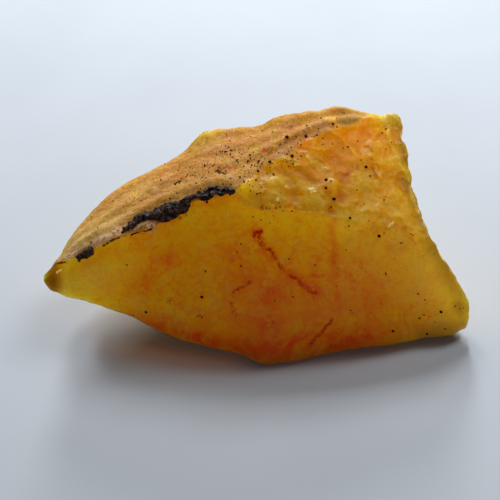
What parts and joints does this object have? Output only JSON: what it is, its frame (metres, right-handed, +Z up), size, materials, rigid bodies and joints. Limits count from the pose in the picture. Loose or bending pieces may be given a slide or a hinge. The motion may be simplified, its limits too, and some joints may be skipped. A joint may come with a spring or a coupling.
{
  "type": "rough sapphire",
  "caption": "Rough uncut sapphire, a broken wedge of milky yellow-orange crystal with a weathered skin, a pointed end and dark crust on its ridge, to rest on a flat surface.",
  "frame": {"origin": "under the middle of the stone's outline, on the flat face that it rests on", "axes": "+X along the stone from its raised pointed end to its broad broken end, +Y from its big smooth front face to its back, +Z up"},
  "size_m": [0.0396, 0.0212, 0.0164],
  "materials": {
    "sapphire": "milky translucent yellow-orange corundum, waxy to glassy, with a tan iron-stained skin, red iron veins and black specks",
    "dark_crust": "rough dark brown to black crust with a dull sheen"
  },
  "bodies": {
    "root": {"sapphire": "sapphire", "ridge_crust": "dark_crust", "tip_crust": "dark_crust"}
  },
  "joints": []
}
